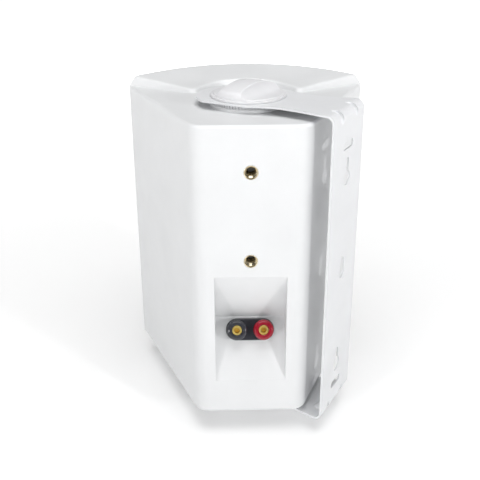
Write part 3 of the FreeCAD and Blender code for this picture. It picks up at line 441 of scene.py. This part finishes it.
dress(speckledFinish("mouldedWhite", mouldedWhite), "cabinet_shell")
dress(whitePaint, "wall_bracket", "grille")
dress(knobMoulding, "upper_knob", "lower_knob", "upper_detent_ring", "lower_detent_ring")
dress(zinc, "upper_knob_stud", "lower_knob_stud", "upper_knob_washer", "lower_knob_washer")
dress(zinc, "terminal_nuts", "solder_lugs", "woofer_top_plate", "woofer_yoke", "crossover_screws")
dress(brass, "pivot_inserts", "rear_inserts")
dress(gold, "black_post", "red_post", "black_collar", "red_collar")
dress(blackCap, "terminal_base", "black_cap")
dress(speckledFinish("glossRed", glossRed), "red_cap")
dress(blackMoulding, "front_baffle", "port_tube_left", "port_tube_right", "tweeter_plate")
dress(blackSteel, "woofer_basket", "baffle_screws", "woofer_screws", "tweeter_screws")
dress(rubber, "baffle_gasket", "woofer_surround")
dress(ferrite, "woofer_magnet", "tweeter_magnet")
dress(cone, "woofer_cone", "woofer_dust_cap")
dress(winding, "woofer_voice_coil", "crossover_coil")
dress(resinCloth, "woofer_spider")
dress(wovenCloth("silkWeave", silkWeave, clothLook), "tweeter_dome")
dress(speckledFinish("greenBoard", greenBoard), "crossover_board")
dress(speckledFinish("capacitorFilm", capacitorFilm), "crossover_capacitors")
dress(speckledFinish("cementWhite", cementWhite), "crossover_resistor")
dress(wadding, "damping_pads")
dress(vinyl, "input_wires", "woofer_wires", "tweeter_wires")
print("finishes made:", len(bpy.data.materials))


# perforated steel grille: a staggered sheet of six-sided holes inside a plain border, bowed as one

grilleLook = {
    "outerRadius": 138.6 * mm, "thick": 1.2 * mm, "pitch": 4.0 * mm, "web": 0.62 * mm, "weld": 0.062 * mm,
    "columns": 42, "rows": 62, "border": 5.0 * mm, "rim": 0.2 * mm, "rimRound": 0.35 * mm, "rimCuts": 2,
    "corner": 8.0 * mm, "cornerCuts": 6, "bowCuts": 40,
}


def perforatedSheet(look):
    quietSelection()
    pitch = look["pitch"]
    rowStep = pitch * math.sqrt(3) / 2
    bpy.ops.mesh.primitive_circle_add(vertices=6, radius=pitch / math.sqrt(3), fill_type="NGON")
    sheet = startPiece("grilleSheet")
    enterEdit()
    bpy.ops.mesh.select_all(action="SELECT")
    bpy.ops.mesh.inset(thickness=look["web"])
    bpy.ops.mesh.delete(type="FACE")                      # the inner face becomes the hole
    bpy.ops.mesh.select_all(action="SELECT")
    bpy.ops.mesh.duplicate_move(TRANSFORM_OT_translate={"value": (pitch / 2, rowStep, 0)})
    leaveEdit()
    for count, step in ((look["columns"], (pitch, 0, 0)), (look["rows"] // 2, (0, 2 * rowStep, 0))):
        applyModifier(sheet, "ARRAY", count=count, use_relative_offset=False, use_constant_offset=True,
                      constant_offset_displace=step)
    mergeDoubles(sheet, look["weld"])
    sheet.location = (-(look["columns"] - 0.5) * pitch / 2, -(look["rows"] - 1) * rowStep / 2, 0)
    settle(sheet)
    applyModifier(sheet, "SOLIDIFY", thickness=look["thick"], offset=0)
    return sheet


def grilleBorder(look, width, height):
    quietSelection()
    bpy.ops.mesh.primitive_plane_add(size=1)
    border = startPiece("grilleBorder")
    border.scale = (width, height, 1)
    settle(border)
    enterEdit("VERT")
    bpy.ops.mesh.select_all(action="SELECT")
    bpy.ops.mesh.bevel(offset=look["corner"], segments=look["cornerCuts"], affect="VERTICES")
    bpy.ops.mesh.select_mode(type="FACE")
    bpy.ops.mesh.select_all(action="SELECT")
    bpy.ops.mesh.inset(thickness=look["border"])
    bpy.ops.mesh.delete(type="FACE")
    leaveEdit()
    chooseEdges(border, lambda a, b: abs(a.x - b.x) > width / 2)
    bpy.ops.mesh.subdivide(number_cuts=look["bowCuts"])   # so that the long runs can bow
    leaveEdit()
    applyModifier(border, "SOLIDIFY", thickness=look["thick"] + 2 * look["rim"], offset=0)
    applyModifier(border, "BEVEL", width=look["rimRound"], segments=look["rimCuts"], limit_method="ANGLE")
    return border


def bowedGrille(look):
    low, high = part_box("grille")
    middleRadius = look["outerRadius"] - look["thick"] / 2
    halfAngle = math.asin((high[0] - low[0]) / 2 / look["outerRadius"])
    sheet = perforatedSheet(look)
    border = grilleBorder(look, 2 * halfAngle * middleRadius, high[2] - low[2])
    grille = joinPieces("perforatedGrille", [sheet, border])
    grille.rotation_euler = (math.pi / 2, 0, 0)
    settle(grille)
    applyModifier(grille, "SIMPLE_DEFORM", deform_method="BEND", deform_axis="Z", angle=2 * halfAngle)
    grille.location = (swivelX, low[1] + look["thick"] / 2, 0)
    settle(grille)
    return grille


perforatedGrille = bowedGrille(grilleLook)
finishPiece(perforatedGrille, whitePaint, "white_steel", "cabinet", "grille")


# threaded brass inserts: a chamfered sleeve with a wound thread ridge inside it

insertLook = {
    "outer": 4.9 * mm, "root": 4.02 * mm, "crest": 3.4 * mm, "pitch": 1.25 * mm, "turns": 9, "steps": 28,
    "mouth": 0.55 * mm, "lip": 0.18 * mm, "edgeCuts": 2, "segments": 64, "heights": (77.3 * mm, 14.3 * mm),
    "slack": 0.1 * mm, "sunk": 0.05 * mm, "ridgeShare": 0.48,
}


def insertSleeve(look, low, high):
    quietSelection()
    depth = high[1] - low[1]
    bpy.ops.mesh.primitive_cylinder_add(vertices=look["segments"], radius=look["outer"], depth=depth,
                                        end_fill_type="NOTHING", rotation=(math.pi / 2, 0, 0))
    sleeve = startPiece("insertSleeve")
    settle(sleeve)
    applyModifier(sleeve, "SOLIDIFY", thickness=look["outer"] - look["root"], offset=-1)
    between = (look["outer"] + look["root"]) / 2
    rings = ((look["root"] - look["slack"], between, look["mouth"]),
             (between, look["outer"] + look["slack"], look["lip"]))
    for nearest, farthest, width in rings:                # the bore's mouth, then the outer lip
        chooseEdges(sleeve, lambda a, b: min(a.y, b.y) > depth / 2 - look["lip"] / 2
                    and nearest < math.hypot(a.x, a.z) < farthest
                    and nearest < math.hypot(b.x, b.z) < farthest)
        bpy.ops.mesh.bevel(offset=width, segments=look["edgeCuts"])
        leaveEdit()
    return sleeve


def threadRidge(look, depth):
    quietSelection()
    bpy.ops.mesh.primitive_circle_add(vertices=3, radius=1, rotation=(0, 0, math.pi / 2))
    ridge = startPiece("threadRidge")
    settle(ridge)
    reach = look["root"] + look["sunk"] - look["crest"]   # the ridge's foot is sunk in the sleeve
    inward = reach / (1 + math.cos(math.pi / 3))          # a unit triangle is 1.5 deep
    ridge.scale = (inward, look["pitch"] * look["ridgeShare"] / math.sin(math.pi / 3), 1)
    ridge.location = (look["crest"] + inward, look["pitch"] / 2 - depth / 2 + look["lip"], 0)
    settle(ridge)
    applyModifier(ridge, "SCREW", axis="Y", screw_offset=look["pitch"], iterations=look["turns"],
                  steps=look["steps"], render_steps=look["steps"])
    enterEdit("EDGE")
    bpy.ops.mesh.select_all(action="DESELECT")
    bpy.ops.mesh.select_non_manifold()
    bpy.ops.mesh.fill()
    leaveEdit()
    outwardNormals(ridge)
    return ridge


def brassInserts(look):
    low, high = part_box("rear_inserts")
    made = []
    for height in look["heights"]:
        for part in (insertSleeve(look, low, high), threadRidge(look, high[1] - low[1])):
            part.location = (swivelX, (low[1] + high[1]) / 2, height)
            settle(part)
            made.append(part)
    return joinPieces("threadedInserts", made)


threadedInserts = brassInserts(insertLook)
finishPiece(threadedInserts, brass, "brass", "cabinet", "rear_inserts")


# soft wadding against both inner side walls: two felted batts with rounded, uneven faces

waddingLook = {
    "thick": 7.8 * mm, "run": 43.4 * mm, "tall": 207.6 * mm, "edgeRound": 2.4 * mm, "edgeCuts": 3,
    "lean": math.atan2(51.3, 120.0),                      # the slope of the cabinet's side wall
    "voxel": 2.0 * mm, "aside": 49.9 * mm, "depthPlace": -30.0 * mm,
    "lumps": ((26.0 * mm, 1.0 * mm), (7.0 * mm, 0.7 * mm)), "lumpMiddle": 0.6,
    "easing": 0.5, "easingTurns": 2,
}


def softBatt(look, side):
    quietSelection()
    bpy.ops.mesh.primitive_cube_add(size=1)
    batt = startPiece("wadding")
    batt.scale = (look["thick"], look["run"], look["tall"])
    settle(batt)
    enterEdit("EDGE")
    bpy.ops.mesh.select_all(action="SELECT")
    bpy.ops.mesh.bevel(offset=look["edgeRound"], segments=look["edgeCuts"])
    leaveEdit()
    applyModifier(batt, "REMESH", mode="VOXEL", voxel_size=look["voxel"])
    batt.rotation_euler = (0, 0, side * look["lean"])
    batt.location = (swivelX + side * look["aside"], look["depthPlace"], 0)
    settle(batt)
    for number, (size, height) in enumerate(look["lumps"]):
        lump = bpy.data.textures.new("waddingLump" + str(number), "CLOUDS")
        lump.noise_scale = size
        applyModifier(batt, "DISPLACE", texture=lump, texture_coords="LOCAL", strength=height,
                      mid_level=look["lumpMiddle"])
    applyModifier(batt, "SMOOTH", factor=look["easing"], iterations=look["easingTurns"])
    return batt


sideWadding = joinPieces("sideWadding", [softBatt(waddingLook, 1), softBatt(waddingLook, -1)])
finishPiece(sideWadding, wadding, "wadding", "cabinet", "damping_pads")


# corrugated spider of resin cloth between the cone and the basket, in sectors that are not attached to any
# body

spiderLook = {
    "inner": 13.5 * mm, "outer": 33.0 * mm, "waves": 3, "swing": 1.4 * mm, "thick": 0.5 * mm, "sectors": 8,
    "radialCuts": 36, "arcSteps": 12,
}


def spiderSector(look, number):
    quietSelection()
    width = look["outer"] - look["inner"]
    bpy.ops.mesh.primitive_grid_add(x_subdivisions=look["radialCuts"], y_subdivisions=1, size=1)
    sector = startPiece("spiderSector" + str(number + 1))
    sector.scale = (width, look["thick"], 1)
    sector.location = (look["inner"] + width / 2, 0, 0)
    settle(sector)
    for spot in sector.data.vertices:                     # pressed waves across the width
        turn = 2 * math.pi * look["waves"] * (spot.co.x - look["inner"]) / width
        spot.co.z = look["swing"] * math.cos(turn)
    chooseEdges(sector, lambda a, b: min(a.y, b.y) < 0)
    bpy.ops.mesh.delete(type="EDGE")                      # one wavy edge is left to wind round
    leaveEdit()
    sectorAngle = 2 * math.pi / look["sectors"]
    applyModifier(sector, "SCREW", axis="Z", angle=sectorAngle, steps=look["arcSteps"],
                  render_steps=look["arcSteps"])
    outwardNormals(sector)
    applyModifier(sector, "SOLIDIFY", thickness=look["thick"], offset=0)
    low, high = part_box("woofer_spider")
    sector.rotation_euler = (math.pi / 2, number * sectorAngle, 0)
    sector.location = (swivelX, (low[1] + high[1]) / 2, coneLook["centre"][2])
    settle(sector)
    return sector


def flexSector(sector):
    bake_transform(sector)


for sectorNumber in range(spiderLook["sectors"]):
    spiderPart = spiderSector(spiderLook, sectorNumber)
    finishPiece(spiderPart, resinCloth, "spider_cloth", None, "woofer_spider")
    flexSector(spiderPart)


# floor, light and camera

stageLook = {
    "floorGap": 3.2 * mm, "floorSize": 80.0, "floorColour": (0.86, 0.86, 0.86, 1), "floorRough": 0.9,
    "glowReach": (0.25, 1.6), "glow": (0.19, 0.95), "glowColour": (1, 1, 1, 1),
    "horizon": (0.78, 0.78, 0.78, 1), "zenith": (0.1, 0.1, 0.1, 1), "skyRamp": (0.12, 0.3), "exposure": -0.1,
}
lamps = {
    "leftSpot": {"place": (1.02, 1.22, 0.30), "size": (0.10, 0.10), "power": 4.7},
    "rightSpot": {"place": (-1.02, 1.13, 0.43), "size": (0.09, 0.09), "power": 7.0},
    "highSoftbox": {"place": (0.10, 1.3, 1.5), "size": (1.2, 1.0), "power": 4.6},
    "overhead": {"place": (0.05, 0.2, 1.6), "size": (1.4, 1.4), "power": 25.5},
    "frontSoftbox": {"place": (0.065, -1.7, 0.0), "size": (1.3, 0.2), "power": 11.0},
}
lampAim = Vector((swivelX, -0.02, 0.0))


def layFloor(look):
    quietSelection()
    floorZ = cadLow[2] - look["floorGap"]                 # the lower knob still lifts clear of it
    bpy.ops.mesh.primitive_plane_add(size=look["floorSize"], location=(swivelX, 0, floorZ))
    floor = startPiece("studioFloor")
    material, tree, shader = newFinish("paleFloor")
    shader.inputs["Base Color"].default_value = look["floorColour"]
    shader.inputs["Roughness"].default_value = look["floorRough"]
    shader.inputs["Emission Color"].default_value = look["glowColour"]
    distance = tree.nodes.new("ShaderNodeVectorMath")
    distance.operation = "LENGTH"
    tree.links.new(objectPlace(tree), distance.inputs[0])
    glow = tree.nodes.new("ShaderNodeMapRange")           # the floor fades to white away from the object
    glow.inputs["From Min"].default_value, glow.inputs["From Max"].default_value = look["glowReach"]
    glow.inputs["To Min"].default_value, glow.inputs["To Max"].default_value = look["glow"]
    tree.links.new(distance.outputs["Value"], glow.inputs["Value"])
    tree.links.new(glow.outputs["Result"], shader.inputs["Emission Strength"])
    floor.data.materials.append(material)


def paintSky(look):
    world = bpy.data.worlds.new("studioSky")
    world.use_nodes = True
    tree = world.node_tree
    backdrop = tree.nodes["Background"]
    coordinate = tree.nodes.new("ShaderNodeTexCoord")
    split = tree.nodes.new("ShaderNodeSeparateXYZ")
    ramp = tree.nodes.new("ShaderNodeValToRGB")
    skyColours = (look["horizon"], look["zenith"])
    for stop, position, colour in zip(ramp.color_ramp.elements, look["skyRamp"], skyColours):
        stop.position = position
        stop.color = colour
    tree.links.new(coordinate.outputs["Generated"], split.inputs["Vector"])
    tree.links.new(split.outputs["Z"], ramp.inputs["Fac"])
    tree.links.new(ramp.outputs["Color"], backdrop.inputs["Color"])
    bpy.context.scene.world = world


def hangLamp(name, lamp):
    light = bpy.data.lights.new(name, "AREA")
    light.energy = lamp["power"]
    light.shape = "RECTANGLE"
    light.size, light.size_y = lamp["size"]
    holder = bpy.data.objects.new(name, light)
    bpy.context.scene.collection.objects.link(holder)
    holder.location = lamp["place"]
    holder.rotation_euler = (lampAim - holder.location).to_track_quat("-Z", "Y").to_euler()


photoCamera = {
    "place": (0.082417, 0.481435, 0.234821), "pitch": math.pi / 2 - 0.416, "heading": math.pi - 0.022,
    "roll": -0.004, "lens": 56.94, "sensor": 36.0, "nearest": 0.01,
}


def setCamera(look):
    data = bpy.data.cameras.new("photoCamera")
    data.lens = look["lens"]
    data.sensor_width = look["sensor"]
    data.clip_start = look["nearest"]
    camera = bpy.data.objects.new("photoCamera", data)
    bpy.context.scene.collection.objects.link(camera)
    camera.location = look["place"]
    camera.rotation_euler = (look["pitch"], 0, look["heading"])
    camera.rotation_euler.rotate_axis("Z", look["roll"])
    bpy.context.scene.camera = camera


layFloor(stageLook)
paintSky(stageLook)
for lampName, lamp in lamps.items():
    hangLamp(lampName, lamp)
setCamera(photoCamera)
bpy.context.scene.view_settings.view_transform = "Standard"
bpy.context.scene.view_settings.exposure = stageLook["exposure"]
print("stage set")
